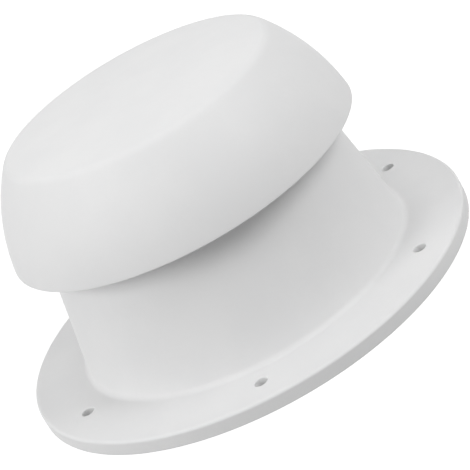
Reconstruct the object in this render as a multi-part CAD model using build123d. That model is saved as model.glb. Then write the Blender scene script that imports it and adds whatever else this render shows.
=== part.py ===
"""Mushroom roof vent: a moulded flange and neck, a mushroom cap on a centre post, a screen and one screw.

Millimetres, +Z up. The origin is the centre of the flange's mounting plane, so the roof is at Z = 0.
"""

import os
from math import asin, cos, hypot, radians, sin, sqrt, tan

from build123d import *

# Flange and its screw holes
FLANGE_LAND = 20.6  # flat ring outside the foot of the neck
FLANGE_T = 5.2
FLANGE_EDGE_R = 1.8
HOLE_COUNT = 6
HOLE_D = 4.4
HOLE_EDGE = 11.3  # from the flange's edge to the middle of a screw hole
HOLE_MOUTH = 0.3  # small chamfer at the top of a screw hole
BOSS_WALL = 3.0  # plastic around a screw hole, under the flange

# Sealant groove moulded into the underside of the flange
FLANGE_SKIN = 2.6  # plastic left above the groove
GROOVE_LIP = 3.0  # ring left standing at the flange's edge and round the duct hole

# Neck
NECK_FOOT_D = 118.8  # outside, where the neck meets the top of the flange
NECK_TAPER = 10.6  # degrees from upright
NECK_WALL = 2.5
MOUTH_Z = 60.0
FOOT_FILLET_R = 2.0
MOUTH_CHAMFER = 0.5

# Spider across the mouth, moulded in one with the neck
ARM_COUNT = 4
ARM_WIDTH = 3.2
ARM_DEPTH = 6.0
HUB_D = 17.0
HUB_DEPTH = 9.0

# Cap
AIR_GAP = 8.68  # between the neck and the inside of the cap's rim
CAP_WALL = 2.5
SKIRT_OVERLAP = 9.6  # how far the rim hangs below the mouth
SKIRT_H = 32.0  # rim to shoulder
SKIRT_LEAN = 8.7  # degrees from upright at the rim
SKIRT_BOW_R = 64.0
SHOULDER_R = 4.5
CROWN_RISE = 2.0
RIM_CHAMFER = 0.25
SHOULDER_R_LEAST = 0.5  # inside of the shoulder, under a thick wall

# Post and gussets under the cap's crown
POST_D = 12.0
GUSSET_COUNT = 4
GUSSET_T = 2.0
GUSSET_REACH = 26.0  # from the post's axis, at the crown
GUSSET_FOOT = 6.0  # from the post's foot up to where the gussets start

# Insect screen
SCREEN_T = 0.8
SCREEN_LEDGE = 1.2  # width of the ledge that the screen's edge lies on
SCREEN_SLACK = 0.2
SCREEN_RING = 2.6
SCREEN_PITCH = 7.0
SCREEN_BAR = 1.3

# Cap screw and its washer
SCREW_D = 4.8
SCREW_COVER = 5.5  # from the screw's tip to the inside of the crown
SCREW_SPARE = 1.0  # depth of the post's bore beyond the screw's tip
SCREW_TIP = 2.4
SCREW_TIP_D = 1.2
SCREW_HEAD_D = 9.2
SCREW_HEAD_H = 3.4
SCREW_HEAD_R = 1.6
SCREW_FIT = 0.05  # between the thread's crest and the bore of the post
SCREW_SLACK = 0.3  # between the screw and the holes that it passes through
DRIVE_W = 1.0
DRIVE_SPAN = 5.0
DRIVE_DEPTH = 1.8
WASHER_D = 13.0
WASHER_T = 1.0

NEAR = 1e-6  # two sizes this close are the same one

# Sizes that follow from the ones above
neck_foot_r = NECK_FOOT_D / 2
flange_r = neck_foot_r + FLANGE_LAND
hole_circle_r = flange_r - HOLE_EDGE
groove_depth = FLANGE_T - FLANGE_SKIN
wall_across = NECK_WALL / cos(radians(NECK_TAPER))  # the neck's wall, measured level
screen_z = MOUTH_Z - SCREEN_T  # the ledge and the spider's top
hub_z = screen_z - HUB_DEPTH
through_r = SCREW_D / 2 + SCREW_SLACK


def neck_r(z):
    """Outside radius of the neck's cone at height z."""
    return neck_foot_r - (z - FLANGE_T) * tan(radians(NECK_TAPER))


duct_foot_r = neck_r(0) - wall_across
duct_mouth_r = neck_r(MOUTH_Z) - wall_across
ledge_r = duct_mouth_r + SCREEN_LEDGE

# The cap's outline: the skirt bows about one centre, the crown about another on the axis
lean = radians(SKIRT_LEAN)
rim_z = MOUTH_Z - SKIRT_OVERLAP
rim_r = neck_r(rim_z) + AIR_GAP + CAP_WALL / cos(lean)
bow_x = rim_r - SKIRT_BOW_R * cos(lean)
bow_z = rim_z - SKIRT_BOW_R * sin(lean)
shoulder_z = rim_z + SKIRT_H
shoulder_r = bow_x + SKIRT_BOW_R * cos(asin((shoulder_z - bow_z) / SKIRT_BOW_R))
crown_bow_r = (shoulder_r**2 + CROWN_RISE**2) / (2 * CROWN_RISE)
crown_z = shoulder_z + CROWN_RISE - crown_bow_r
ceiling_z = shoulder_z + CROWN_RISE - CAP_WALL  # inside of the crown, on the axis
screw_tip_z = ceiling_z - SCREW_COVER


def turned(outline):
    """A solid of revolution about Z from a face drawn in the XZ plane."""
    return revolve(outline, Axis.Z)


def upright(z_low, z_high, radius):
    """A plain round bar on the Z axis between two heights."""
    return Pos(0, 0, z_low) * extrude(Circle(radius), z_high - z_low)


def ring(z_low, z_high, inner, outer):
    """A flat ring on the Z axis between two heights."""
    return upright(z_low, z_high, outer) - upright(z_low, z_high, inner)


def at_radius(part, radius):
    """The corners of a flat section that lie at one radius."""
    return part.vertices().filter_by(lambda v: abs(v.X - radius) < NEAR)


def make_base():
    """Flange, neck and spider: one moulding, open from below, with a groove for sealant."""
    outline = Polyline(
        (0, 0),
        (flange_r, 0),
        (flange_r, FLANGE_T),
        (neck_foot_r, FLANGE_T),
        (neck_r(MOUTH_Z), MOUTH_Z),
        (0, MOUTH_Z),
        close=True,
    )
    section = Plane.XZ * make_face(outline)
    section = fillet(at_radius(section, flange_r).sort_by(Axis.Z)[-1], FLANGE_EDGE_R)
    section = fillet(at_radius(section, neck_foot_r), FOOT_FILLET_R)
    section = chamfer(at_radius(section, neck_r(MOUTH_Z)), MOUTH_CHAMFER)
    whole = turned(section)

    duct = Polyline((0, 0), (duct_foot_r, 0), (duct_mouth_r, MOUTH_Z), (0, MOUTH_Z), close=True)
    base = whole - turned(Plane.XZ * make_face(duct)) - upright(screen_z, MOUTH_Z, ledge_r)

    screws = PolarLocations(hole_circle_r, HOLE_COUNT)
    groove = ring(0, groove_depth, duct_foot_r + GROOVE_LIP, flange_r - GROOVE_LIP)
    groove -= screws * extrude(Circle(HOLE_D / 2 + BOSS_WALL), groove_depth)
    base -= groove
    base -= screws * extrude(Circle(HOLE_D / 2), FLANGE_T)
    rounds = [e for e in base.edges().filter_by(GeomType.CIRCLE) if abs(e.radius - HOLE_D / 2) < NEAR]
    base = chamfer([e for e in rounds if abs(e.center().Z - FLANGE_T) < NEAR], HOLE_MOUTH)

    arm = Pos(neck_foot_r / 2, 0, screen_z - ARM_DEPTH / 2) * Box(neck_foot_r, ARM_WIDTH, ARM_DEPTH)
    arms = [Rot(0, 0, 360 / ARM_COUNT * i) * arm for i in range(ARM_COUNT)]
    spider = (upright(hub_z, screen_z, HUB_D / 2) + arms) & whole
    return base + (spider - upright(hub_z, screen_z, through_r))


def cap_section(inset):
    """Half of the cap's outline, moved inwards: bowed skirt, rounded shoulder, shallow crown.

    The skirt and the crown are arcs about fixed centres, and the shoulder is where they cross.
    """
    skirt_r = SKIRT_BOW_R - inset
    top_r = crown_bow_r - inset
    apart = hypot(bow_x, crown_z - bow_z)
    along = (skirt_r**2 - top_r**2 + apart**2) / (2 * apart)
    aside = sqrt(skirt_r**2 - along**2)
    to_x = -bow_x / apart
    to_z = (crown_z - bow_z) / apart
    corner_x = bow_x + along * to_x - aside * to_z
    corner_z = bow_z + along * to_z + aside * to_x
    apex = (0, crown_z + top_r)
    foot = (bow_x + sqrt(skirt_r**2 - (rim_z - bow_z) ** 2), rim_z)
    skirt_mid = (rim_z + corner_z) / 2
    crown_mid = corner_x / 2
    skirt = ThreePointArc(
        foot,
        (bow_x + sqrt(skirt_r**2 - (skirt_mid - bow_z) ** 2), skirt_mid),
        (corner_x, corner_z),
    )
    crown = ThreePointArc(
        (corner_x, corner_z),
        (crown_mid, crown_z + sqrt(top_r**2 - crown_mid**2)),
        apex,
    )
    section = Plane.XZ * make_face(skirt + crown + Polyline(apex, (0, rim_z), foot))
    shoulder_round = max(SHOULDER_R - inset, SHOULDER_R_LEAST)
    return fillet(at_radius(section, corner_x), shoulder_round)


def make_cap():
    """Mushroom cap: a shell open at the rim, with a bored post and gussets under its crown."""
    whole = turned(cap_section(0))
    section = cap_section(0) - cap_section(CAP_WALL)
    rim = section.vertices().filter_by(lambda v: abs(v.Z - rim_z) < NEAR)
    shell = turned(chamfer(rim, RIM_CHAMFER))

    root_z = ceiling_z + CAP_WALL / 2  # the post and the gussets end inside the crown
    gusset_z = MOUTH_Z + GUSSET_FOOT
    gusset = Polyline(
        (0, root_z), (GUSSET_REACH, root_z), (POST_D / 2, gusset_z), (0, gusset_z), close=True
    )
    web = extrude(Plane.XZ * make_face(gusset), GUSSET_T / 2, both=True)
    webs = [Rot(0, 0, 360 / GUSSET_COUNT * i) * web for i in range(GUSSET_COUNT)]
    post = upright(MOUTH_Z, root_z, POST_D / 2)
    bore = upright(MOUTH_Z, screw_tip_z + SCREW_SPARE, SCREW_D / 2 + SCREW_FIT)
    return shell + ((post + webs) & whole) - bore


def make_insect_screen():
    """Flat screen with a plain ring, a pad for the post and a square lattice between them."""
    outer = ledge_r - SCREEN_SLACK
    disc = Circle(outer) - Circle(through_r)
    clear = SCREEN_PITCH - SCREEN_BAR
    half = clear / 2
    rows = int(outer // SCREEN_PITCH) + 1
    gaps = []
    for i in range(-rows, rows):
        for j in range(-rows, rows):
            x = (i + 0.5) * SCREEN_PITCH
            y = (j + 0.5) * SCREEN_PITCH
            far = hypot(abs(x) + half, abs(y) + half)
            near = hypot(abs(x) - half, abs(y) - half)
            if far < outer - SCREEN_RING and near > HUB_D / 2:
                gaps.append(Pos(x, y) * Rectangle(clear, clear))
    return Pos(0, 0, screen_z) * extrude(disc - gaps, SCREEN_T)


def make_cap_screw():
    """Pan-head screw driven up from inside the neck, through the hub, into the cap's post."""
    seat_z = hub_z - WASHER_T
    shank_z = screw_tip_z - SCREW_TIP
    shank = upright(seat_z, shank_z, SCREW_D / 2)
    tip = Pos(0, 0, shank_z + SCREW_TIP / 2) * Cone(SCREW_D / 2, SCREW_TIP_D / 2, SCREW_TIP)
    head = upright(seat_z - SCREW_HEAD_H, seat_z, SCREW_HEAD_D / 2)
    head = fillet(head.edges().filter_by(GeomType.CIRCLE).sort_by(Axis.Z)[0], SCREW_HEAD_R)
    cross = Rectangle(DRIVE_SPAN, DRIVE_W) + Rectangle(DRIVE_W, DRIVE_SPAN)
    drive = Pos(0, 0, seat_z - SCREW_HEAD_H) * extrude(cross, DRIVE_DEPTH)
    return head - drive + shank + tip


def make_washer():
    """Plain washer between the screw's head and the hub."""
    return ring(hub_z - WASHER_T, hub_z, through_r, WASHER_D / 2)


def main():
    os.makedirs("parts", exist_ok=True)
    nodes = {
        "base": make_base(),
        "cap": make_cap(),
        "insect_screen": make_insect_screen(),
        "cap_screw": make_cap_screw(),
        "washer": make_washer(),
    }
    for name, solid in nodes.items():
        export_step(solid, f"parts/{name}.step")
    print("flange", round(2 * flange_r, 2), "hole circle", round(2 * hole_circle_r, 2))
    print("cap rim", round(2 * rim_r, 2), "at", round(rim_z, 2), "shoulder", round(shoulder_r, 2))
    print("duct at the roof", round(2 * duct_foot_r, 2), "at the mouth", round(2 * duct_mouth_r, 2))


main()
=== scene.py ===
"""Mushroom roof vent: moulded base and cap, woven screen, threaded screw, washer and the studio.

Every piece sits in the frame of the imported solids, in metres, with +Z up and the roof at Z = 0.
"""

from math import asin, cos, hypot, pi, radians, sin, sqrt, tan

import bmesh
import bpy
import numpy as np
from bpy.props import FloatProperty, FloatVectorProperty, IntProperty, PointerProperty
from mathutils import Matrix, Vector


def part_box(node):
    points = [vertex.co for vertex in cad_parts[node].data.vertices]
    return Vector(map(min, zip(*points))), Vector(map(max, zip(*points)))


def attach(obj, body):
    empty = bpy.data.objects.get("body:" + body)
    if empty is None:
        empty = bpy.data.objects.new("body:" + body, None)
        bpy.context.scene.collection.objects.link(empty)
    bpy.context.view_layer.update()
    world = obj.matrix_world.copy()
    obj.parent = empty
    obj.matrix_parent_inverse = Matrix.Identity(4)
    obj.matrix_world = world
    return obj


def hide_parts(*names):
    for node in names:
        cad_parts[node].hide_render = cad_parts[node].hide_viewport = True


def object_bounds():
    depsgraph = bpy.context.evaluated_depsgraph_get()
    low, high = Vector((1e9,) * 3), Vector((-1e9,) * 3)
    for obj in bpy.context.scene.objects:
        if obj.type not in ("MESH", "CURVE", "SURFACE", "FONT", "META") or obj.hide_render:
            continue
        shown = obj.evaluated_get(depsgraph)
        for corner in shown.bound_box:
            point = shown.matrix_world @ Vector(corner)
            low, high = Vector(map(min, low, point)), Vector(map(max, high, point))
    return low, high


bl_info = {
    "name": "Mushroom Roof Vent",
    "version": (1, 0, 0),
    "blender": (4, 5, 0),
    "location": "View3D > Sidebar > Vent",
    "description": "Builds a moulded mushroom roof vent around its packed solids",
    "category": "Add Mesh",
}

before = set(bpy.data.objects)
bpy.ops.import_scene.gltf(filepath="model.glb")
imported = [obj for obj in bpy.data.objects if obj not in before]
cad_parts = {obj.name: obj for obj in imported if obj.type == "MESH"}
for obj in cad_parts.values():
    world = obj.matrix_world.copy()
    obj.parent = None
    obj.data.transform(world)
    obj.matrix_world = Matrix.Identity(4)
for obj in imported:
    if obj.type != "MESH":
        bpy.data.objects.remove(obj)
cad_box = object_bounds()
MM = 0.001

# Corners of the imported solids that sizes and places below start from
base_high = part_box("base")[1]
cap_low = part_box("cap")[0]
screen_low, screen_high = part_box("insect_screen")
screw_low, screw_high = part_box("cap_screw")
washer_low, washer_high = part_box("washer")

# Points in one turn of the turned shapes
CAP_TURN = 240
RIM_TURN = 192
HEAD_TURN = 192
WASHER_TURN = 144
POST_TURN = 96
FLOOR_TURN = 64
SHANK_TURN = 48

# One sector of the flange: points along its arcs and its straight sides, rings of faces from the
# hole to its edge, and how strongly those rings crowd round the hole
SECTOR_ARC = 40
SECTOR_SIDE = 8
SECTOR_RINGS = 5
SECTOR_CROWDING = 1.6

# Steps along the cap's arcs, outside and inside
CROWN_STEPS = (26, 22)
SHOULDER_STEPS = (12, 8)
SKIRT_STEPS = (34, 30)
RIM_STEPS = 7

# A gusset: rows up it, steps round its nose, and where it starts as a share of the post's radius
GUSSET_ROWS = 14
NOSE_STEPS = 10
GUSSET_ROOT = 0.7

# An arm of the spider: sections along it, how far it lies under the hub's top, and where it starts
# and ends as shares of the hub's radius and of the neck's wall, counted from outside
ARM_SECTIONS = 9
ARM_DROP = 0.02 * MM
ARM_ROOT = 0.8
ARM_END = 1 / 3

# Flat margins between a rounded edge and a drilled ring: at the flange, at a hole and at a boss
FLANGE_MARGIN = 0.6 * MM
HOLE_MARGIN = 0.2 * MM
BOSS_MARGIN = 0.1 * MM

# Steps round an outline's corner, and round a smaller one
CORNER_STEPS = 7
SMALL_CORNER_STEPS = 4

# A straight run of an outline: from its ends to their extra points, the longest gap between
# these, and the length up to which it has none
HOLD = 0.35 * MM
RUN_GAP = 6 * MM
SHORT_RUN = 4 * HOLD

# Points nearer than this are one point: in an outline, and where patches are welded
SAME_POINT = 1e-8
WELD = 2e-7

# A wire of the screen: sides, so that one face closes an end, and points along it
WIRE_SIDES = 4
WIRE_POINTS = 190

# The screw: rings on the head's face, the depth to which points count as on it, the share of the
# head's edge that is round, rows along the shank, and the shank's start inside the head
FACE_RINGS = 55
FACE_DEPTH = 0.05 * MM
HEAD_ROUND_SHARE = 0.98
SHANK_ROWS = 264
SHANK_START = 0.3 * MM

# The thread: from its crest's middle to its foot and the width of its flank, both in half pitches,
# the length over which it rises from nothing, and the share of its radius left at the point
RIDGE_FOOT = 0.62
RIDGE_FLANK = 0.5
THREAD_START = 1.2 * MM
POINT_SHARE = 0.25

# The cross recess: width of its soft edge, and the share of its depth lost at the arms' ends
RECESS_EDGE = 0.14 * MM
RECESS_RISE = 0.45

# The picture's side in pixels, and the width of the camera's sensor in millimetres
PICTURE = 470
SENSOR = 36

# Each lamp of the studio: degrees round from the camera, degrees above the floor, size in metres
LAMPS = {
    "overhead": (0, 90, 0.3),
    "steep_front": (0, 65, 0.5),
    "left": (-60, 31, 0.5),
    "low_left": (-90, 5, 0.5),
    "right": (60, 35, 0.5),
    "far_right": (90, 35, 0.5),
    "low_right": (90, 8, 0.5),
    "back": (180, 45, 0.5),
}
LAMP_DISTANCE = 1.1

# The floor: radii of its rings, its tone to the light on the vent, its tone and glow when seen
FLOOR_RINGS = (1e-4, 0.1, 0.3, 4.0)
FLOOR_BOUNCE = 0.4
FLOOR_TONE = 0.3
FLOOR_GLOW = 0.9


def length(name, description, metres):
    """A size in metres that the sidebar shows in the scene's unit of length."""
    return FloatProperty(
        name=name, description=description, default=metres, min=0, precision=5,
        subtype="DISTANCE", unit="LENGTH",
    )


def slope(name, description, degrees):
    """An angle that the sidebar shows in degrees."""
    return FloatProperty(
        name=name, description=description, default=radians(degrees), subtype="ANGLE",
        unit="ROTATION",
    )


def share(name, description, value):
    """A plain number from 0 to 1."""
    return FloatProperty(
        name=name, description=description, default=value, min=0, max=1, subtype="FACTOR",
    )


def count(name, description, number, least):
    """A whole number of like features."""
    return IntProperty(name=name, description=description, default=number, min=least)


def watts(name, description, power):
    """The power of a lamp."""
    return FloatProperty(
        name=name, description=description, default=power, min=0, subtype="POWER", unit="POWER",
    )


def tint(name, description, rgb):
    """A colour in linear light."""
    return FloatVectorProperty(
        name=name, description=description, default=rgb, size=3, min=0, max=1, subtype="COLOR",
    )


class VentBaseSizes(bpy.types.PropertyGroup):
    """Sizes of the flange, the neck and the spider."""

    flange_r: length("Flange radius", "Outside of the flange", base_high.x)
    flange_t: length("Flange thickness", "At the edge of the flange", 5.2 * MM)
    flange_round: length("Flange edge", "Radius of the flange's upper edge", 1.0 * MM)
    mould_round: length("Small edges", "Radius of the moulding's small edges", 0.3 * MM)
    hole_count: count("Screw holes", "Evenly round the flange", 6, 3)
    hole_r: length("Hole radius", "Screw holes of the flange", 2.2 * MM)
    hole_circle_r: length("Hole circle", "Radius of the circle of screw holes", 68.7 * MM)
    hole_mouth: length("Hole mouth", "Radius of a hole's upper edge", 0.35 * MM)
    boss_r: length("Boss radius", "Plastic standing round a hole, under the flange", 5.2 * MM)
    groove_z: length("Groove depth", "Sealant groove under the flange", 2.6 * MM)
    groove_lip: length("Groove lips", "Rings that stand on each side of the groove", 3.0 * MM)
    foot_r: length("Neck foot radius", "Outside of the neck on top of the flange", 59.4 * MM)
    foot_round: length("Neck foot fillet", "Between the neck and the flange", 2.0 * MM)
    taper: slope("Neck taper", "From upright", 10.6)
    neck_wall: length("Neck wall", "Square to the wall", 2.5 * MM)
    mouth_z: length("Mouth height", "Top of the neck above the roof", base_high.z)
    mouth_round: length("Mouth edge", "Radius of the neck's top edge", 0.5 * MM)
    ledge: length("Screen ledge", "Width of the ledge in the mouth", 1.2 * MM)
    arm_count: count("Spider arms", "Across the mouth", 4, 2)
    arm_width: length("Arm width", "Spider's arms", 3.2 * MM)
    arm_depth: length("Arm depth", "Spider's arms", 6.0 * MM)
    hub_r: length("Hub radius", "Middle of the spider", 8.5 * MM)
    hub_depth: length("Hub depth", "Middle of the spider", 9.0 * MM)


class VentCapSizes(bpy.types.PropertyGroup):
    """Sizes of the mushroom cap, its post and its gussets."""

    rim_r: length("Rim radius", "Outside of the skirt, carried on to the rim's plane", 62.15 * MM)
    rim_z: length("Rim height", "Above the roof", cap_low.z)
    rim_round: length("Rim edge", "Radius of the rim's edges", 0.25 * MM)
    skirt_h: length("Skirt height", "Rim to shoulder", 32.0 * MM)
    skirt_lean: slope("Skirt lean", "From upright at the rim", 8.7)
    skirt_bow: length("Skirt bow", "Radius of the skirt's outline", 64.0 * MM)
    shoulder_round: length("Shoulder", "Radius between skirt and crown", 4.5 * MM)
    crown_rise: length("Crown rise", "Above the shoulder", 2.0 * MM)
    wall: length("Cap wall", "Thickness of the shell", 2.5 * MM)
    post_r: length("Post radius", "Under the middle of the crown", 6.0 * MM)
    post_round: length("Post edge", "Radius of the post's lower edge", 0.3 * MM)
    bore_round: length("Bore edge", "Radius of the edge of the post's bore", 0.2 * MM)
    bore_play: length("Bore play", "Between the screw's thread and the bore", 0.05 * MM)
    bore_spare: length("Bore spare", "Depth of the bore beyond the screw's tip", 1.0 * MM)
    gusset_count: count("Gussets", "Round the post", 4, 2)
    gusset_t: length("Gusset thickness", "Plates between post and crown", 2.0 * MM)
    gusset_reach: length("Gusset reach", "From the axis, at the crown", 26.0 * MM)
    gusset_foot: length("Gusset foot", "From the post's foot to the gussets", 6.0 * MM)


class VentMetalSizes(bpy.types.PropertyGroup):
    """Sizes of the screen's wires, the cap screw and the washer."""

    wire_pitch: length("Wire pitch", "Between the wires of the screen", 2.0 * MM)
    wire_d: length("Wire diameter", "Wires of the screen", 0.36 * MM)
    screen_rim: length("Screen rim", "Folded edge of the screen", 2.6 * MM)
    screen_round: length("Screen edges", "Radius of the edges of rim and pad", 0.2 * MM)
    screw_r: length("Thread radius", "Over the crests of the thread", 2.4 * MM)
    core_r: length("Core radius", "At the root of the thread", 1.75 * MM)
    thread_pitch: length("Thread pitch", "Rise in one turn", 1.8 * MM)
    point: length("Point", "Tapered end of the screw", 2.4 * MM)
    head_h: length("Head height", "Pan head", 3.4 * MM)
    head_round: length("Head edge", "Width of the pan head's rounded edge", 1.6 * MM)
    seat_round: length("Seat edge", "Radius of the head's edge on the washer", 0.2 * MM)
    drive_reach: length("Recess reach", "Arms of the cross recess, from the axis", 2.5 * MM)
    drive_half: length("Recess half width", "Arms of the cross recess", 0.5 * MM)
    drive_depth: length("Recess depth", "At the axis", 1.8 * MM)
    bore_r: length("Clearance hole", "Radius of the holes that the screw passes", 2.7 * MM)
    washer_round: length("Washer edges", "Radius of the washer's sharper edges", 0.15 * MM)
    washer_roll: length("Washer roll", "Radius of its outer edge under the head", 0.3 * MM)


class VentFinishes(bpy.types.PropertyGroup):
    """Colours and surface values."""

    plastic: tint("White plastic", "Moulded flange, neck and cap", (0.803, 0.803, 0.803))
    plastic_deep: tint("White plastic, deeper", "Clouding in the plastic", (0.783, 0.784, 0.786))
    plastic_rough: share("Plastic roughness", "Satin moulded face", 0.6)
    mesh: tint("Screen coat", "Coated wires of the screen", (0.2, 0.21, 0.22))
    mesh_worn: tint("Screen coat, thin", "Where the coat is thin", (0.3, 0.31, 0.32))
    steel: tint("Stainless steel", "Screw and washer", (0.62, 0.62, 0.63))
    steel_dull: tint("Stainless steel, dull", "Turning marks in the steel", (0.5, 0.5, 0.51))


class VentStage(bpy.types.PropertyGroup):
    """Where the camera stands and how the studio is lit."""

    around: slope("Camera azimuth", "Round the vent from its front", -21.63)
    above: slope("Camera elevation", "Above the floor", 24.717)
    roll: slope("Camera roll", "The whole picture is turned", 29.941)
    distance: length("Camera distance", "From the middle of the flange's underside", 0.6303)
    lens: FloatProperty(
        name="Lens", description="Focal length", default=143.3, subtype="DISTANCE_CAMERA",
        unit="CAMERA",
    )
    aim_x: share("Aim across", "Middle of the underside in the picture", 250.33 / PICTURE)
    aim_y: share("Aim down", "Middle of the underside in the picture", 297.13 / PICTURE)
    ambient: FloatProperty(
        name="Ambient", description="Strength of the even light", default=0.32, min=0,
    )
    overhead: watts("Overhead light", "Small lamp straight above", 1.47)
    steep_front: watts("Steep front light", "Lamp high over the camera", 0.24)
    left: watts("Left light", "Lamp to the left of the camera", 5.0)
    low_left: watts("Low left light", "Lamp near the floor at the left end", 1.57)
    right: watts("Right light", "Lamp to the right of the camera", 4.4)
    far_right: watts("Far right light", "Lamp at the right end", 0.73)
    low_right: watts("Low right light", "Lamp near the floor at the right end", 0.34)
    back: watts("Back light", "Lamp behind the vent", 0.87)


def arc(centre, radius, start, end, steps):
    """Points on a circle about centre, from one angle to another, both ends included."""
    angles = np.linspace(start, end, steps + 1)
    x = centre[0] + radius * np.cos(angles)
    y = centre[1] + radius * np.sin(angles)
    return np.column_stack([x, y])


def circles_cross(a, a_r, b, b_r):
    """The right-hand point that lies a_r from point a and b_r from point b.

    Going from a towards b it lies along = (a_r squared - b_r squared + apart squared) / (2 apart),
    and beside that line by the root of a_r squared - along squared.
    """
    apart = hypot(b[0] - a[0], b[1] - a[1])
    along = (a_r**2 - b_r**2 + apart**2) / (2 * apart)
    aside = sqrt(a_r**2 - along**2)
    to_x, to_y = (b[0] - a[0]) / apart, (b[1] - a[1]) / apart
    side = 1 if to_y < 0 else -1
    return (
        a[0] + along * to_x - side * aside * to_y,
        a[1] + along * to_y + side * aside * to_x,
    )


def bearing(a, b):
    """The angle of the line from point a to point b."""
    return float(np.arctan2(b[1] - a[1], b[0] - a[0]))


def unit(vector):
    """A vector of the same direction and length 1."""
    return vector / np.linalg.norm(vector)


def turn_matrix(angle):
    """The matrix that turns column vectors about the upright axis."""
    c, s = cos(angle), sin(angle)
    return np.array([[c, -s, 0], [s, c, 0], [0, 0, 1]])


def rounded(corners, steps=CORNER_STEPS):
    """An open outline through corners (across, up, radius), each swung round on its radius.

    A corner's arc touches both of its lines, so its centre lies radius / sin(half the corner) from
    the corner. Both ends of a straight run get one more point close by, which keeps the shading
    of flat faces flat.
    """
    points = np.array([corner[:2] for corner in corners], float)
    ends = np.repeat(points[:, None], 2, axis=1)
    arcs = [points[:1]]
    for i in range(1, len(points) - 1):
        radius = corners[i][2]
        if radius == 0:
            arcs.append(points[i:i + 1])
            continue
        back = unit(points[i - 1] - points[i])
        ahead = unit(points[i + 1] - points[i])
        half = np.arccos(np.clip(back @ ahead, -1, 1)) / 2
        centre = points[i] + unit(back + ahead) * radius / sin(half)
        ends[i] += np.stack([back, ahead]) * radius / tan(half)
        first = bearing(centre, ends[i][0])
        sweep = (bearing(centre, ends[i][1]) - first + pi) % (2 * pi) - pi
        arcs.append(arc(centre, radius, first, first + sweep, steps))
    arcs.append(points[-1:])

    runs = [arcs[0]]
    for i in range(1, len(arcs)):
        start, end = ends[i - 1][1], ends[i][0]
        span = np.linalg.norm(end - start)
        if span > SHORT_RUN:
            part = np.linspace(HOLD / span, 1 - HOLD / span, 2 + int(span / RUN_GAP))
            runs.append(start + part[:, None] * (end - start))
        runs.append(arcs[i])
    line = np.concatenate(runs)
    apart = np.linalg.norm(np.diff(line, axis=0), axis=1) > SAME_POINT
    return line[np.concatenate([[True], apart])]


def grid_faces(rows, columns, around=False, along=False):
    """Quads between neighbouring points of a grid, closed round its columns or along its rows."""
    i = np.arange(rows if along else rows - 1)[:, None]
    j = np.arange(columns if around else columns - 1)[None, :]
    i2 = (i + 1) % rows
    j2 = (j + 1) % columns
    corners = (i * columns + j, i2 * columns + j, i2 * columns + j2, i * columns + j2)
    return np.stack(np.broadcast_arrays(*corners), -1).reshape(-1, 4)


def turned(outline, angles, centre=(0, 0), loop=False):
    """An outline (radius, height) swung about an upright axis through centre.

    x = radius cos angle, y = radius sin angle, z = height. A loop joins its last row to its first.
    """
    radius = outline[:, 0][:, None]
    x = centre[0] + radius * np.cos(angles)
    y = centre[1] + radius * np.sin(angles)
    z = np.broadcast_to(outline[:, 1][:, None], x.shape)
    points = np.stack([x, y, z], -1).reshape(-1, 3)
    return points, grid_faces(len(outline), len(angles), around=True, along=loop)


def full_turn(steps):
    """Evenly spaced angles of one turn."""
    return np.arange(steps) * 2 * pi / steps


def spun(patch, angle):
    """A patch turned about the upright axis."""
    points, faces = patch
    return points @ turn_matrix(angle).T, faces


def repeated(patch, times):
    """A patch set evenly round the upright axis."""
    return [spun(patch, 2 * pi / times * i) for i in range(times)]


def square_ring(inner, outer, low, high, radii, angles, steps=CORNER_STEPS):
    """A ring of four-cornered section, turned about the axis.

    The radii round its corners, from the inner lower one outwards and up to the inner upper one.
    """
    middle = (low + high) / 2
    corners = zip((inner, outer, outer, inner), (low, low, high, high), radii)
    section = rounded([(inner, middle), *corners, (inner, middle)], steps)
    return turned(section[:-1], angles, loop=True)


def sector_edge(inner, outer, half):
    """The closed edge of one sector of a flat ring, as radius and angle, from its outer arc on."""
    sweep = np.linspace(-half, half, SECTOR_ARC + 1)[:-1]
    reach = np.linspace(outer, inner, SECTOR_SIDE + 1)[:-1]
    arcs = np.full(SECTOR_ARC, outer), np.full(SECTOR_ARC, inner)
    sides = np.full(SECTOR_SIDE, half), np.full(SECTOR_SIDE, -half)
    radius = np.concatenate([arcs[0], reach, arcs[1], inner + outer - reach])
    angle = np.concatenate([sweep, sides[0], -sweep, sides[1]])
    return np.column_stack([radius, angle])


def drilled_ring(edge, hub_x, hole_r, bearings, z):
    """One sector of a flat ring with a round hole.

    Radius and angle both go from the hole's edge to the sector's edge as (1 - t) hole + t edge,
    with t from 0 to 1, so no line crosses the ring's inner arc.
    """
    hole_x = hub_x + hole_r * np.cos(bearings)
    hole_y = hole_r * np.sin(bearings)
    hole = np.column_stack([np.hypot(hole_x, hole_y), np.arctan2(hole_y, hole_x)])
    t = np.linspace(0, 1, SECTOR_RINGS + 1)[:, None, None] ** SECTOR_CROWDING
    radius, angle = np.moveaxis((1 - t) * hole + t * edge, -1, 0)
    level = np.full(radius.shape, z)
    points = np.stack([radius * np.cos(angle), radius * np.sin(angle), level], -1).reshape(-1, 3)
    return points, grid_faces(SECTOR_RINGS + 1, len(edge), around=True)


def fan(edge, hub):
    """Triangles from a closed edge to one point, as rows whose last two numbers are the same."""
    hubs = np.full(len(edge), hub)
    return np.column_stack([edge, np.roll(edge, -1), hubs, hubs])


def closed(patch, columns, start, end):
    """Closes a tube, whose rows are so many columns long, at both ends.

    Its first row runs together in the point start, and its last row in the point end.
    """
    points, faces = patch
    first = np.arange(columns)
    last = first + len(points) - columns
    fans = [fan(first, len(points)), fan(last, len(points) + 1)]
    return np.concatenate([points, [start, end]]), np.concatenate([faces, *fans])


def capped(patch, columns):
    """Closes both ends of a tube about the middles of its first and last rows."""
    points = patch[0]
    return closed(patch, columns, points[:columns].mean(0), points[-columns:].mean(0))


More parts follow.
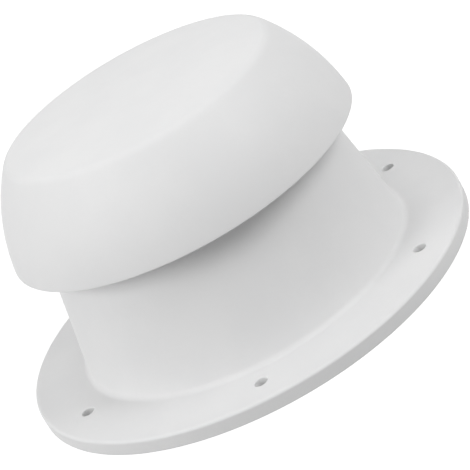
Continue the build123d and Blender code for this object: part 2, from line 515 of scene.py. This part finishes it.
def bar(section, stations):
    """A closed section (across, up) carried along X through stations, with flat ends."""
    columns = len(section)
    x = np.repeat(stations, columns)
    points = np.column_stack([x, np.tile(section, (len(stations), 1))])
    return capped((points, grid_faces(len(stations), columns, around=True)), columns)


def rounded_box(width, low, high, radius):
    """A closed rectangle (across, up) with rounded corners, centred across."""
    half = width / 2 - radius
    centres = ((half, low), (half, high), (-half, high), (-half, low))
    inwards = (radius, -radius, -radius, radius)
    return np.concatenate([
        arc((x, y + lift), radius, pi / 2 * (i - 1), pi / 2 * i, SMALL_CORNER_STEPS)
        for i, ((x, y), lift) in enumerate(zip(centres, inwards))
    ])


def build_piece(name, patches, finish, node, crease=32):
    """Welds patches into one mesh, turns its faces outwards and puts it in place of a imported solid.

    Edges whose faces meet at more than crease degrees stay sharp.
    """
    offset = 0
    points, faces = [], []
    for patch_points, patch_faces in patches:
        points.append(patch_points)
        faces.append(patch_faces + offset)
        offset += len(patch_points)
    mesh = bpy.data.meshes.new(name)
    rows = [row[:3] if row[2] == row[3] else row for row in np.concatenate(faces).tolist()]
    mesh.from_pydata(np.concatenate(points).tolist(), [], rows)
    work = bmesh.new()
    work.from_mesh(mesh)
    bmesh.ops.remove_doubles(work, verts=work.verts, dist=WELD)
    bmesh.ops.dissolve_degenerate(work, edges=work.edges, dist=SAME_POINT)
    bmesh.ops.recalc_face_normals(work, faces=work.faces)
    work.to_mesh(mesh)
    work.free()
    mesh.polygons.foreach_set("use_smooth", np.ones(len(mesh.polygons), bool))
    mesh.set_sharp_from_angle(angle=radians(crease))
    mesh.materials.append(finish)
    piece = bpy.data.objects.new(name, mesh)
    bpy.context.scene.collection.objects.link(piece)
    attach(piece, "root")
    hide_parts(node)


class Shade:
    """A value inside a node tree, so that sums and products can be written as plain expressions."""

    def __init__(self, tree, socket):
        self.tree = tree
        self.socket = socket

    def _math(self, operation, first, second):
        node = self.tree.nodes.new("ShaderNodeMath")
        node.operation = operation
        for place, value in zip(node.inputs, (first, second)):
            plug(self.tree, place, value)
        return Shade(self.tree, node.outputs[0])

    def __add__(self, other):
        return self._math("ADD", self, other)

    def __radd__(self, other):
        return self._math("ADD", other, self)

    def __mul__(self, other):
        return self._math("MULTIPLY", self, other)

    def __rmul__(self, other):
        return self._math("MULTIPLY", other, self)


def plug(tree, place, value):
    """Links a value into a socket, or sets the socket to a plain number, vector or colour."""
    if isinstance(value, Shade):
        tree.links.new(value.socket, place)
        return
    held = place.default_value
    if hasattr(held, "__len__") and len(held) == 4 and len(value) == 3:
        value = (*value, 1)
    place.default_value = value


class Finish:
    """A node tree being written: a material's, or the world's."""

    def __init__(self, owner):
        owner.use_nodes = True
        self.tree = owner.node_tree
        self.tree.nodes.clear()

    def node(self, kind, settings=None, sockets=None, out=0):
        """Adds one node: its settings first, then its sockets by name or number.

        One of its outputs comes back, or nothing from a node that ends the tree.
        """
        made = self.tree.nodes.new("ShaderNode" + kind)
        for key, value in (settings or {}).items():
            setattr(made, key, value)
        for key, value in (sockets or {}).items():
            plug(self.tree, made.inputs[key], value)
        return Shade(self.tree, made.outputs[out]) if made.outputs else None

    def where(self):
        """The place on the piece, in its own frame."""
        return self.node("TexCoord", out="Object")

    def blend(self, part, first, second):
        """A colour between two others: 6 and 7 take colours in a Mix node, and 2 gives one."""
        colours = {0: part, 6: tuple(first), 7: tuple(second)}
        return self.node("Mix", {"data_type": "RGBA"}, colours, out=2)

    def noise(self, where, scale, detail, roughness):
        """Smooth noise from 0 to 1, with scale in features to the metre."""
        return self.node("TexNoise", None, {
            "Vector": where, "Scale": scale, "Detail": detail, "Roughness": roughness,
        })

    def steps(self, value, low, high):
        """A value spread smoothly from 0 at low to 1 at high, and held outside."""
        return self.node("MapRange", {"interpolation_type": "SMOOTHSTEP"}, {
            "Value": value, "From Min": low, "From Max": high,
        })

    def bump(self, height, strength, distance):
        """A normal that follows a height, where a height of 1 stands for distance in metres."""
        return self.node("Bump", None, {
            "Height": height, "Strength": strength, "Distance": distance,
        })

    def close(self, shader, kind="OutputMaterial"):
        """Ends the tree in its output."""
        self.node(kind, None, {"Surface": shader})


def finish_named(name, write):
    """A material made once and shared by the pieces that have it."""
    found = bpy.data.materials.get(name)
    if found is None:
        found = bpy.data.materials.new(name)
        write(Finish(found), bpy.context.scene.vent_finishes)
    return found


def write_white_plastic(tree, look):
    """Satin white moulding: faint clouding, a fine eroded grain and slight changes of gloss."""
    where = tree.where()
    cloud = tree.noise(where, scale=38.0, detail=3.0, roughness=0.55)
    speck = tree.noise(where, scale=900.0, detail=2.0, roughness=0.6)
    grain = tree.noise(where, scale=3600.0, detail=2.0, roughness=0.65)
    ripple = tree.noise(where, scale=120.0, detail=1.0, roughness=0.4)
    part = tree.steps(cloud * 0.8 + speck * 0.2, low=0.38, high=0.66)
    relief = grain * 0.7 + ripple * 0.8
    tree.close(tree.node("BsdfPrincipled", None, {
        "Base Color": tree.blend(part, look.plastic_deep, look.plastic),
        "Roughness": look.plastic_rough - 0.05 + ripple * 0.06 + grain * 0.05,
        "IOR": 1.52,
        "Normal": tree.bump(relief, strength=0.12, distance=0.06 * MM),
    }))


def write_screen_coat(tree, look):
    """Grey coated wire: the coat is thinner and paler in places and slightly lumpy."""
    where = tree.where()
    thin = tree.noise(where, scale=420.0, detail=3.0, roughness=0.6)
    lump = tree.noise(where, scale=5200.0, detail=1.0, roughness=0.5)
    part = tree.steps(thin, low=0.45, high=0.7)
    tree.close(tree.node("BsdfPrincipled", None, {
        "Base Color": tree.blend(part, look.mesh, look.mesh_worn),
        "Roughness": 0.42 + lump * 0.16,
        "IOR": 1.5,
        "Normal": tree.bump(lump, strength=0.2, distance=0.04 * MM),
    }))


def write_stainless(tree, look):
    """Turned stainless steel: fine rings about the screw's axis, with dull patches."""
    where = tree.where()
    flat = tree.node("VectorMath", {"operation": "MULTIPLY"}, {0: where, 1: (1, 1, 0)})
    radius = tree.node("VectorMath", {"operation": "LENGTH"}, {0: flat}, out="Value")
    outwards = tree.node("CombineXYZ", None, {"X": radius})
    ring = tree.noise(outwards, scale=9000.0, detail=2.0, roughness=0.6)
    patch = tree.noise(where, scale=700.0, detail=2.0, roughness=0.5)
    part = tree.steps(ring * 0.5 + patch * 0.5, low=0.35, high=0.65)
    tree.close(tree.node("BsdfPrincipled", None, {
        "Base Color": tree.blend(part, look.steel_dull, look.steel),
        "Metallic": 1.0,
        "Roughness": 0.24 + ring * 0.14 + patch * 0.06,
        "Normal": tree.bump(ring, strength=0.15, distance=0.04 * MM),
    }))


def neck_radius(s, z):
    """Outside of the neck's cone at one height."""
    return s.foot_r - (z - s.flange_t) * tan(s.taper)


def screen_seat(s):
    """Height of the ledge and the spider, on which the screen lies flush with the mouth."""
    return s.mouth_z - (screen_high.z - screen_low.z)


def base_patches(s):
    """Flange and neck.

    The edge of the flange and the neck are outlines turned about the axis. The two flat rings
    between them are sectors that blend from a hole's edge to the sector's edge, and a turned
    outline lines each hole and its boss.
    """
    around = full_turn(SECTOR_ARC * s.hole_count)
    half = pi / s.hole_count
    small = s.mould_round
    level_wall = s.neck_wall / cos(s.taper)
    screen_z = screen_seat(s)
    duct_foot = neck_radius(s, 0) - level_wall
    duct_ledge = neck_radius(s, screen_z) - level_wall
    ledge_r = neck_radius(s, s.mouth_z) - level_wall + s.ledge
    lip_out = s.flange_r - s.groove_lip
    lip_in = duct_foot + s.groove_lip
    top_in = s.foot_r + s.foot_round + FLANGE_MARGIN
    top_out = s.flange_r - s.flange_round - FLANGE_MARGIN
    low_in = lip_in + small + FLANGE_MARGIN
    low_out = lip_out - small - FLANGE_MARGIN
    edge = rounded([
        (low_out, s.groove_z), (lip_out, s.groove_z, small), (lip_out, 0, small),
        (s.flange_r, 0, small), (s.flange_r, s.flange_t, s.flange_round), (top_out, s.flange_t),
    ])
    neck = rounded([
        (top_in, s.flange_t), (s.foot_r, s.flange_t, s.foot_round),
        (neck_radius(s, s.mouth_z), s.mouth_z, s.mouth_round), (ledge_r, s.mouth_z, small / 2),
        (ledge_r, screen_z, 0), (duct_ledge, screen_z, small), (duct_foot, 0, small),
        (lip_in, 0, small), (lip_in, s.groove_z, small), (low_in, s.groove_z),
    ])
    mouth_r = s.hole_r + s.hole_mouth + HOLE_MARGIN
    boss_foot = s.boss_r + small + BOSS_MARGIN
    lining = rounded([
        (mouth_r, s.flange_t), (s.hole_r, s.flange_t, s.hole_mouth), (s.hole_r, 0, small / 2),
        (s.boss_r, 0, small), (s.boss_r, s.groove_z, small), (boss_foot, s.groove_z),
    ], SMALL_CORNER_STEPS)
    hole_x = s.hole_circle_r
    top_edge = sector_edge(top_in, top_out, half)
    low_edge = sector_edge(low_in, low_out, half)
    bearings = np.arctan2(top_edge[:, 1] * hole_x, top_edge[:, 0] - hole_x)
    sector = [
        drilled_ring(top_edge, hole_x, mouth_r, bearings, s.flange_t),
        turned(lining, bearings, (hole_x, 0)),
        drilled_ring(low_edge, hole_x, boss_foot, bearings, s.groove_z),
    ]
    patches = [turned(edge, around), turned(neck, around)]
    for patch in sector:
        patches += repeated(patch, s.hole_count)
    return patches


def spider_patches(s, bore):
    """The hub is a ring, and each arm a rounded bar from inside the hub into the neck's wall."""
    screen_z = screen_seat(s)
    small = s.mould_round
    radii = (small, 2 * small, small, small)
    turn = full_turn(POST_TURN)
    hub = square_ring(bore, s.hub_r, screen_z - s.hub_depth, screen_z, radii, turn)
    arm_top = screen_z - ARM_DROP
    arm_end = neck_radius(s, screen_z) - s.neck_wall * ARM_END
    section = rounded_box(s.arm_width, screen_z - s.arm_depth, arm_top, 2 * small)
    arm = bar(section, np.linspace(s.hub_r * ARM_ROOT, arm_end, ARM_SECTIONS))
    return [hub, *repeated(arm, s.arm_count)]


def cap_outline(s):
    """The cap's open outline, from the top of the crown round the rim to the crown's inside.

    Crown and skirt are arcs about fixed centres, met by a shoulder arc that touches both, and the
    inside is the same three arcs moved in by the wall, joined round the rim. The height of the top
    comes with it.
    """
    bow = (
        s.rim_r - s.skirt_bow * cos(s.skirt_lean),
        s.rim_z - s.skirt_bow * sin(s.skirt_lean),
    )
    shoulder_z = s.rim_z + s.skirt_h
    shoulder_r = bow[0] + s.skirt_bow * cos(asin((shoulder_z - bow[1]) / s.skirt_bow))
    crown_bow = (shoulder_r**2 + s.crown_rise**2) / (2 * s.crown_rise)
    crown = (0, shoulder_z + s.crown_rise - crown_bow)
    knee = circles_cross(bow, s.skirt_bow - s.shoulder_round, crown, crown_bow - s.shoulder_round)
    on_crown = bearing(crown, knee)
    on_skirt = bearing(bow, knee)
    roll_z = s.rim_z + s.rim_round
    outer_reach = s.skirt_bow - s.rim_round
    inner_reach = s.skirt_bow - s.wall + s.rim_round
    roll_out = (bow[0] + sqrt(outer_reach**2 - (roll_z - bow[1]) ** 2), roll_z)
    roll_in = (bow[0] + sqrt(inner_reach**2 - (roll_z - bow[1]) ** 2), roll_z)
    rim_out = bearing(bow, roll_out)
    rim_in = bearing(bow, roll_in)
    inner_skirt = s.skirt_bow - s.wall
    inner_shoulder = s.shoulder_round - s.wall
    inner_crown = crown_bow - s.wall
    line = np.concatenate([
        arc(crown, crown_bow, pi / 2, on_crown, CROWN_STEPS[0])[1:],
        arc(knee, s.shoulder_round, on_crown, on_skirt, SHOULDER_STEPS[0])[1:],
        arc(bow, s.skirt_bow, on_skirt, rim_out, SKIRT_STEPS[0])[1:],
        arc(roll_out, s.rim_round, rim_out, -pi / 2, RIM_STEPS)[1:],
        arc(roll_in, s.rim_round, -pi / 2, rim_in - pi, RIM_STEPS),
        arc(bow, inner_skirt, rim_in, on_skirt, SKIRT_STEPS[1])[1:],
        arc(knee, inner_shoulder, on_skirt, on_crown, SHOULDER_STEPS[1])[1:],
        arc(crown, inner_crown, on_crown, pi / 2, CROWN_STEPS[1])[1:-1],
    ])
    return line, crown[1] + crown_bow


def cap_patches(s, screw_r):
    """The shell is an outline turned about the axis, and so is the post, with its bore.

    A gusset is a plate whose rounded nose leans out in a straight line from the post to its full
    reach: across = post + (reach - post) t and up = foot + (root - foot) t, with t from 0 to 1.
    Post and gussets end inside the crown's wall.
    """
    outline, top_z = cap_outline(s)
    shell = turned(outline, full_turn(CAP_TURN))
    patches = [closed(shell, CAP_TURN, (0, 0, top_z), (0, 0, top_z - s.wall))]

    foot_z = base_high.z
    root_z = top_z - s.wall / 2
    bore = screw_r + s.bore_play
    bore_end = screw_high.z + s.bore_spare
    line = rounded([
        (s.post_r / 2, root_z), (s.post_r, root_z, 0), (s.post_r, foot_z, s.post_round),
        (bore, foot_z, s.bore_round), (bore, bore_end, 0), (bore / 2, bore_end),
    ])
    post = turned(line, full_turn(POST_TURN))
    patches.append(closed(post, POST_TURN, (0, 0, root_z), (0, 0, bore_end)))

    gusset_z = foot_z + s.gusset_foot
    half = s.gusset_t / 2
    t = np.linspace(0, 1, GUSSET_ROWS)[:, None]
    nose = arc((0, 0), half, -pi / 2, pi / 2, NOSE_STEPS)
    reach = s.post_r + (s.gusset_reach - s.post_r) * t
    inner = np.full((GUSSET_ROWS, 2), s.post_r * GUSSET_ROOT)
    x = np.hstack([reach - half + nose[:, 0], inner])
    y = np.broadcast_to([*nose[:, 1], half, -half], x.shape)
    z = np.broadcast_to(gusset_z + (root_z - gusset_z) * t, x.shape)
    rows, columns = x.shape
    plate = np.stack([x, y, z], -1).reshape(-1, 3), grid_faces(rows, columns, around=True)
    return patches + repeated(capped(plate, columns), s.gusset_count)


def wires(reach, pitch, diameter, z, along_x):
    """One family of woven wires over a disc.

    Each is a thin tube whose height is a sine of the way along it, so that it passes over one
    crossing wire and under the next; neighbours are half a wave out of step. Wires of less than
    two pitches are left out.
    """
    most = int(reach / pitch)
    rank = np.arange(-most, most)
    offset = (rank + 0.5) * pitch
    half = np.sqrt(np.maximum(reach**2 - offset**2, 0))
    keep = half > pitch
    rank, offset, half = rank[keep], offset[keep], half[keep]
    run = np.linspace(-1, 1, WIRE_POINTS)[None, :] * half[:, None]
    swing = np.where(rank % 2 == 0, 1.0, -1.0)[:, None] * (1 if along_x else -1)
    rise = z + diameter / 2 * swing * np.sin(pi * run / pitch)
    turn = full_turn(WIRE_SIDES) + pi / WIRE_SIDES
    up = rise[:, :, None] + diameter / 2 * np.sin(turn)
    side = np.broadcast_to(offset[:, None, None] + diameter / 2 * np.cos(turn), up.shape)
    far = np.broadcast_to(run[:, :, None], up.shape)
    points = np.stack([far, side, up] if along_x else [side, far, up], -1).reshape(-1, 3)
    ring = np.arange(WIRE_SIDES)
    size = WIRE_POINTS * WIRE_SIDES
    ends = [ring, ring + size - WIRE_SIDES]
    one = np.concatenate([grid_faces(WIRE_POINTS, WIRE_SIDES, around=True), ends])
    starts = np.arange(len(rank)) * size
    return points, (one[None] + starts[:, None, None]).reshape(-1, WIRE_SIDES)


def screen_patches(metal, pad_r):
    """A rim and a middle pad turned about the axis, with two families of wires woven between."""
    low, high = screen_low.z, screen_high.z
    outer = screen_high.x
    inner = outer - metal.screen_rim
    middle = (low + high) / 2
    radii = [metal.screen_round] * 4
    reach = outer - metal.screen_rim / 2
    rim, pad = full_turn(RIM_TURN), full_turn(POST_TURN)
    return [
        square_ring(inner, outer, low, high, radii, rim, SMALL_CORNER_STEPS),
        square_ring(metal.bore_r, pad_r, low, high, radii, pad, SMALL_CORNER_STEPS),
        wires(reach, metal.wire_pitch, metal.wire_d, middle, along_x=True),
        wires(reach, metal.wire_pitch, metal.wire_d, middle, along_x=False),
    ]


def smooth(value):
    """0 below 0, 1 above 1 and an easy rise between."""
    t = np.clip(value, 0, 1)
    return t * t * (3 - 2 * t)


def screw_head(metal):
    """A pan head turned about the axis, with a cross pressed into its face.

    Inside the cross the face sinks by depth (1 - rise), where rise grows evenly along the arms.
    """
    head_r, low = screw_high.x, screw_low.z
    seat = low + metal.head_h
    face_r = head_r - metal.head_round
    face = np.linspace(0, 1, FACE_RINGS + 1)[1:] * face_r
    side = rounded([
        (face_r, low), (head_r, low, metal.head_round * HEAD_ROUND_SHARE),
        (head_r, seat, metal.seat_round), (metal.core_r / 2, seat),
    ])
    line = np.concatenate([np.column_stack([face, np.full(FACE_RINGS, low)]), side[1:]])
    points, faces = turned(line, full_turn(HEAD_TURN))
    across, up = np.abs(points[:, :2]).T
    reach = np.hypot(across, up)
    within = smooth((metal.drive_half - np.minimum(across, up)) / RECESS_EDGE)
    within *= smooth((metal.drive_reach - reach) / RECESS_EDGE)
    rise = RECESS_RISE * np.clip(reach / metal.drive_reach, 0, 1)
    on_face = points[:, 2] < low + FACE_DEPTH
    points[:, 2] += np.where(on_face, within * metal.drive_depth * (1 - rise), 0)
    bottom = (0, 0, low + metal.drive_depth)
    return closed((points, faces), HEAD_TURN, bottom, (0, 0, seat))


def screw_shank(metal):
    """A shank whose radius follows a ridge that climbs one pitch in each turn.

    radius = core + (crest - core) ridge(z / pitch - angle / turn), times a taper at the point.
    """
    seat = screw_low.z + metal.head_h
    end = screw_high.z
    turn = full_turn(SHANK_TURN)
    z = np.linspace(seat - SHANK_START, end, SHANK_ROWS)[:, None]
    wave = np.abs((z / metal.thread_pitch - turn / (2 * pi)) % 1 - 0.5) * 2
    ridge = np.clip((RIDGE_FOOT - wave) / RIDGE_FLANK, 0, 1) * smooth((z - seat) / THREAD_START)
    taper = np.clip((end - z) / metal.point, POINT_SHARE, 1)
    radius = (metal.core_r + (metal.screw_r - metal.core_r) * ridge) * taper
    level = np.broadcast_to(z, radius.shape)
    points = np.stack([radius * np.cos(turn), radius * np.sin(turn), level], -1).reshape(-1, 3)
    return capped((points, grid_faces(SHANK_ROWS, SHANK_TURN, around=True)), SHANK_TURN)


def washer_patch(metal):
    """A flat ring with rolled edges, turned about the axis."""
    plain = metal.washer_round
    radii = (plain, metal.washer_roll, plain, plain)
    turn = full_turn(WASHER_TURN)
    return square_ring(metal.bore_r, washer_high.x, washer_low.z, washer_high.z, radii, turn)


class VENT_OT_base(bpy.types.Operator):
    """Build the flange, the neck and the spider"""

    bl_idname = "vent.base"
    bl_label = "Flange and Neck"

    def execute(self, context):
        plastic = finish_named("white_plastic_moulded", write_white_plastic)
        sizes = context.scene.vent_base
        patches = base_patches(sizes) + spider_patches(sizes, context.scene.vent_metal.bore_r)
        build_piece("flanged_neck", patches, plastic, "base")
        return {"FINISHED"}


class VENT_OT_cap(bpy.types.Operator):
    """Build the mushroom cap with its post and gussets"""

    bl_idname = "vent.cap"
    bl_label = "Mushroom Cap"

    def execute(self, context):
        plastic = finish_named("white_plastic_moulded", write_white_plastic)
        patches = cap_patches(context.scene.vent_cap, context.scene.vent_metal.screw_r)
        build_piece("mushroom_cap", patches, plastic, "cap")
        return {"FINISHED"}


class VENT_OT_screen(bpy.types.Operator):
    """Build the woven insect screen"""

    bl_idname = "vent.screen"
    bl_label = "Insect Screen"

    def execute(self, context):
        coat = finish_named("screen_coat", write_screen_coat)
        patches = screen_patches(context.scene.vent_metal, context.scene.vent_base.hub_r)
        build_piece("woven_screen", patches, coat, "insect_screen", crease=60)
        return {"FINISHED"}


class VENT_OT_fixing(bpy.types.Operator):
    """Build the cap screw and its washer"""

    bl_idname = "vent.fixing"
    bl_label = "Cap Screw and Washer"

    def execute(self, context):
        steel = finish_named("stainless_turned", write_stainless)
        metal = context.scene.vent_metal
        screw = [screw_head(metal), screw_shank(metal)]
        build_piece("threaded_screw", screw, steel, "cap_screw", crease=40)
        build_piece("plain_washer", [washer_patch(metal)], steel, "washer")
        return {"FINISHED"}


def seen_directly(tree):
    """1 for rays that show the background, 0 for those that light the vent.

    The first are the camera's own rays, and those that a surface mirrors or lets through.
    """
    rays = ("Is Camera Ray", "Is Glossy Ray", "Is Transmission Ray")
    direct, mirrored, through = (tree.node("LightPath", out=ray) for ray in rays)
    return tree.node("Clamp", None, {"Value": direct + mirrored + through})


def write_floor(tree):
    """White floor that shows white, darkened only where the vent stands close over it."""
    bounce = tree.node("BsdfDiffuse", None, {"Color": (FLOOR_BOUNCE,) * 3})
    shown = tree.node("BsdfDiffuse", None, {"Color": (FLOOR_TONE,) * 3})
    glow = tree.node("Emission", None, {"Color": (1, 1, 1), "Strength": FLOOR_GLOW})
    lit = tree.node("AddShader", None, {0: shown, 1: glow})
    tree.close(tree.node("MixShader", None, {0: seen_directly(tree), 1: bounce, 2: lit}))


def write_world(tree, ambient):
    """Even light on the vent, with plain white behind it."""
    even = tree.node("Background", None, {"Color": (1, 1, 1), "Strength": ambient})
    white = tree.node("Background", None, {"Color": (1, 1, 1), "Strength": 1.0})
    mixed = tree.node("MixShader", None, {0: seen_directly(tree), 1: even, 2: white})
    tree.close(mixed, "OutputWorld")


def add_floor(scene):
    """A wide disc at the roof's level, as rings about the axis."""
    rings = np.array([(radius, 0) for radius in FLOOR_RINGS])
    points, faces = turned(rings, full_turn(FLOOR_TURN))
    mesh = bpy.data.meshes.new("studio_floor")
    mesh.from_pydata(points.tolist(), [], faces[:, ::-1].tolist())
    cover = bpy.data.materials.new("studio_floor")
    write_floor(Finish(cover))
    mesh.materials.append(cover)
    floor = bpy.data.objects.new("studio_floor", mesh)
    scene.collection.objects.link(floor)


def add_lamp(scene, name, power, size, around, above):
    """A square soft light that faces the vent's middle, round it and above the floor."""
    lamp = bpy.data.lights.new(name, "AREA")
    lamp.energy = power
    lamp.shape = "SQUARE"
    lamp.size = size
    holder = bpy.data.objects.new(name, lamp)
    out = Vector((sin(around) * cos(above), -cos(around) * cos(above), sin(above)))
    middle = (cad_box[0] + cad_box[1]) / 2
    turn = out.to_track_quat("Z", "Y").to_matrix().to_4x4()
    holder.matrix_world = Matrix.Translation(middle + out * LAMP_DISTANCE) @ turn
    scene.collection.objects.link(holder)


def camera_matrix(stage):
    """The camera's place and turn.

    It looks at the middle of the underside, rolls, and makes the smallest swing that brings this
    point to where the picture has it.
    """
    back = np.array([0, -cos(stage.above), sin(stage.above)])
    right = np.array([1.0, 0, 0])
    rolled = turn_matrix(stage.roll) @ np.stack([right, np.cross(back, right), back])
    focal = stage.lens / SENSOR
    aim = unit(np.array([(stage.aim_x - 0.5) / focal, (0.5 - stage.aim_y) / focal, -1]))
    ahead = np.array([0, 0, -1.0])
    x, y, z = np.cross(ahead, aim)
    swing = np.array([[0, -z, y], [z, 0, -x], [-y, x, 0]])
    swung = (np.eye(3) + swing + swing @ swing / (1 + ahead @ aim)) @ rolled
    spin = turn_matrix(stage.around)
    turn = Matrix((spin @ swung.T).tolist()).to_4x4()
    return Matrix.Translation(spin @ back * stage.distance) @ turn


def add_camera(scene, stage):
    """The camera of the picture."""
    camera = bpy.data.cameras.new("photo_view")
    camera.lens = stage.lens
    camera.sensor_width = SENSOR
    camera.clip_start = 10 * MM
    holder = bpy.data.objects.new("photo_view", camera)
    holder.matrix_world = camera_matrix(stage)
    scene.collection.objects.link(holder)
    scene.camera = holder


class VENT_OT_stage(bpy.types.Operator):
    """Set the floor, the world, the lights and the camera"""

    bl_idname = "vent.stage"
    bl_label = "Studio"

    def execute(self, context):
        scene = context.scene
        stage = scene.vent_stage
        scene.view_settings.view_transform = "Standard"
        add_floor(scene)
        scene.world = bpy.data.worlds.new("studio")
        write_world(Finish(scene.world), stage.ambient)
        for name, (aside, above, size) in LAMPS.items():
            around = stage.around + radians(aside)
            add_lamp(scene, name, getattr(stage, name), size, around, radians(above))
        add_camera(scene, stage)
        return {"FINISHED"}


class VENT_PT_panel(bpy.types.Panel):
    """Sizes, finishes and build steps of the vent"""

    bl_label = "Mushroom Roof Vent"
    bl_idname = "VENT_PT_panel"
    bl_space_type = "VIEW_3D"
    bl_region_type = "UI"
    bl_category = "Vent"

    def draw(self, context):
        layout = self.layout
        for step in OPERATORS:
            layout.operator(step.bl_idname)
        for name in GROUPS:
            group = getattr(context.scene, name)
            box = layout.box()
            for key in group.__annotations__:
                box.prop(group, key)


OPERATORS = (VENT_OT_base, VENT_OT_cap, VENT_OT_screen, VENT_OT_fixing, VENT_OT_stage)
GROUPS = {
    "vent_base": VentBaseSizes,
    "vent_cap": VentCapSizes,
    "vent_metal": VentMetalSizes,
    "vent_finishes": VentFinishes,
    "vent_stage": VentStage,
}
CLASSES = (*GROUPS.values(), *OPERATORS, VENT_PT_panel)


def register():
    """Makes the sizes, the operators and the panel known, and hangs the sizes on the scene."""
    for kind in CLASSES:
        bpy.utils.register_class(kind)
    for name, group in GROUPS.items():
        setattr(bpy.types.Scene, name, PointerProperty(type=group))


def unregister():
    """Takes back what register did."""
    for name in GROUPS:
        delattr(bpy.types.Scene, name)
    for kind in reversed(CLASSES):
        bpy.utils.unregister_class(kind)


def main():
    """Builds every piece and the studio."""
    register()
    bpy.ops.vent.base()
    bpy.ops.vent.cap()
    bpy.ops.vent.screen()
    bpy.ops.vent.fixing()
    bpy.ops.vent.stage()


if __name__ == "__main__":
    main()
